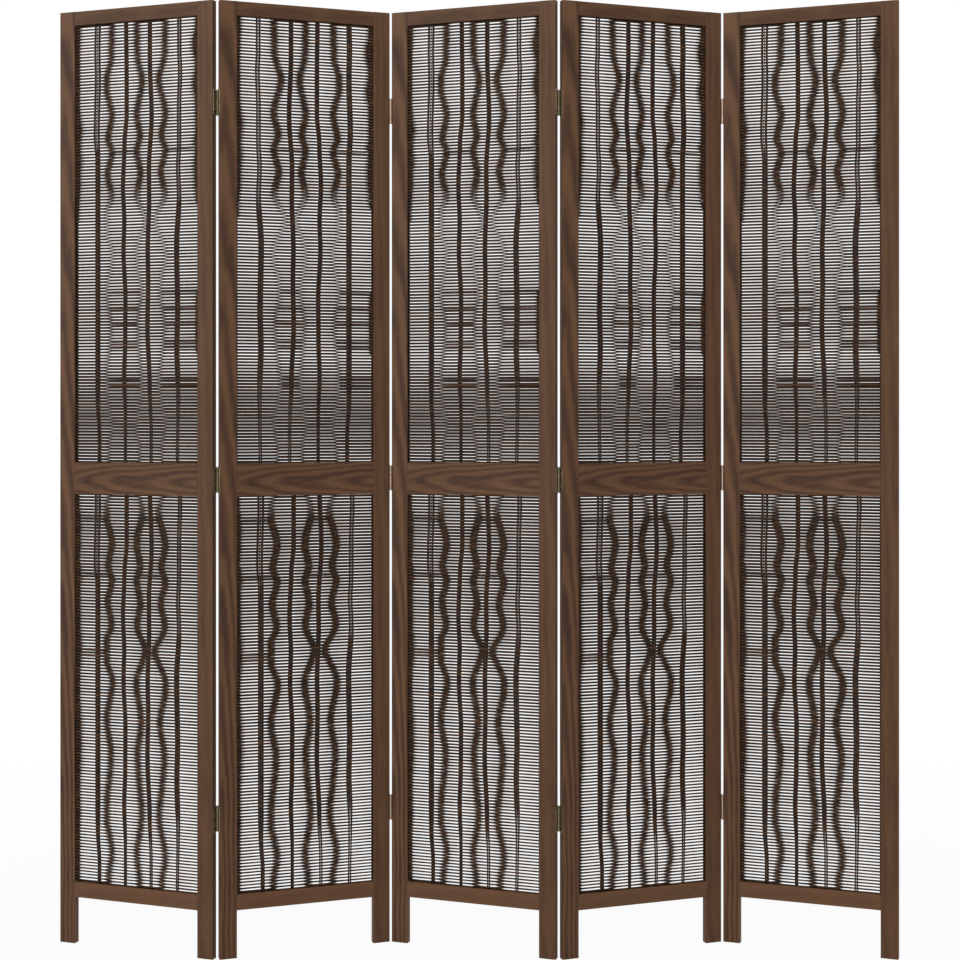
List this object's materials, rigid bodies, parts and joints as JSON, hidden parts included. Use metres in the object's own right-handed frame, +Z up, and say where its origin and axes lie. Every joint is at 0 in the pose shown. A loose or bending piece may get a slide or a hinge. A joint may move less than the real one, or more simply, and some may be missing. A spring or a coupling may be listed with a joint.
{
  "type": "folding screen",
  "caption": "Wooden folding screen of narrow hinged panels standing in a zigzag, each a dark stained frame with see-through woven mats above and below a middle rail.",
  "frame": {"origin": "on the floor, at the middle of the box round the standing screen", "axes": "+Z up, +X along the screen from panel 1 to panel 5, the front faces -Y"},
  "size_m": [1.5136, 0.12, 1.7],
  "materials": {
    "stained_wood": "walnut-brown stain, satin",
    "woven_strands": "dark stained, matte",
    "stake_rods": "dark stained, matte",
    "bronzed_steel": "antique bronze, satin",
    "pin_steel": "satin",
    "dark_screws": "browned, satin"
  },
  "bodies": {
    "panel_1": {"panel_1_left_stile": "stained_wood", "panel_1_right_stile": "stained_wood", "panel_1_top_rail": "stained_wood", "panel_1_middle_rail": "stained_wood", "panel_1_bottom_rail": "stained_wood", "panel_1_upper_wefts": "woven_strands", "panel_1_lower_wefts": "woven_strands", "panel_1_upper_stakes": "stake_rods", "panel_1_lower_stakes": "stake_rods", "panel_1_hinge_leaves": "bronzed_steel", "panel_1_hinge_screws": "dark_screws", "hinge_1_2_pins": "pin_steel"},
    "panel_2": {"panel_2_left_stile": "stained_wood", "panel_2_right_stile": "stained_wood", "panel_2_top_rail": "stained_wood", "panel_2_middle_rail": "stained_wood", "panel_2_bottom_rail": "stained_wood", "panel_2_upper_wefts": "woven_strands", "panel_2_lower_wefts": "woven_strands", "panel_2_upper_stakes": "stake_rods", "panel_2_lower_stakes": "stake_rods", "panel_2_hinge_leaves": "bronzed_steel", "panel_2_hinge_screws": "dark_screws", "hinge_2_3_pins": "pin_steel"},
    "panel_3": {"panel_3_left_stile": "stained_wood", "panel_3_right_stile": "stained_wood", "panel_3_top_rail": "stained_wood", "panel_3_middle_rail": "stained_wood", "panel_3_bottom_rail": "stained_wood", "panel_3_upper_wefts": "woven_strands", "panel_3_lower_wefts": "woven_strands", "panel_3_upper_stakes": "stake_rods", "panel_3_lower_stakes": "stake_rods", "panel_3_hinge_leaves": "bronzed_steel", "panel_3_hinge_screws": "dark_screws", "hinge_3_4_pins": "pin_steel"},
    "panel_4": {"panel_4_left_stile": "stained_wood", "panel_4_right_stile": "stained_wood", "panel_4_top_rail": "stained_wood", "panel_4_middle_rail": "stained_wood", "panel_4_bottom_rail": "stained_wood", "panel_4_upper_wefts": "woven_strands", "panel_4_lower_wefts": "woven_strands", "panel_4_upper_stakes": "stake_rods", "panel_4_lower_stakes": "stake_rods", "panel_4_hinge_leaves": "bronzed_steel", "panel_4_hinge_screws": "dark_screws", "hinge_4_5_pins": "pin_steel"},
    "panel_5": {"panel_5_left_stile": "stained_wood", "panel_5_right_stile": "stained_wood", "panel_5_top_rail": "stained_wood", "panel_5_middle_rail": "stained_wood", "panel_5_bottom_rail": "stained_wood", "panel_5_upper_wefts": "woven_strands", "panel_5_lower_wefts": "woven_strands", "panel_5_upper_stakes": "stake_rods", "panel_5_lower_stakes": "stake_rods", "panel_5_hinge_leaves": "bronzed_steel", "panel_5_hinge_screws": "dark_screws"}
  },
  "joints": [
    {"name": "hinge_2_3", "type": "hinge", "parent": "panel_3", "child": "panel_2", "pos_m": [-0.15176, 0.04544, 0.85], "axis": [0, 0, 1], "range_deg": [-40, 140]},
    {"name": "hinge_3_4", "type": "hinge", "parent": "panel_3", "child": "panel_4", "pos_m": [0.15176, -0.04544, 0.85], "axis": [0, 0, 1], "range_deg": [-40, 140]},
    {"name": "hinge_1_2", "type": "hinge", "parent": "panel_2", "child": "panel_1", "pos_m": [-0.45528, -0.04544, 0.85], "axis": [0, 0, -1], "range_deg": [-40, 140]},
    {"name": "hinge_4_5", "type": "hinge", "parent": "panel_4", "child": "panel_5", "pos_m": [0.45528, 0.04544, 0.85], "axis": [0, 0, -1], "range_deg": [-40, 140]}
  ],
  "couplings": [
    {"joint": "hinge_4_5", "follows": "hinge_3_4", "ratio": 1}
  ]
}
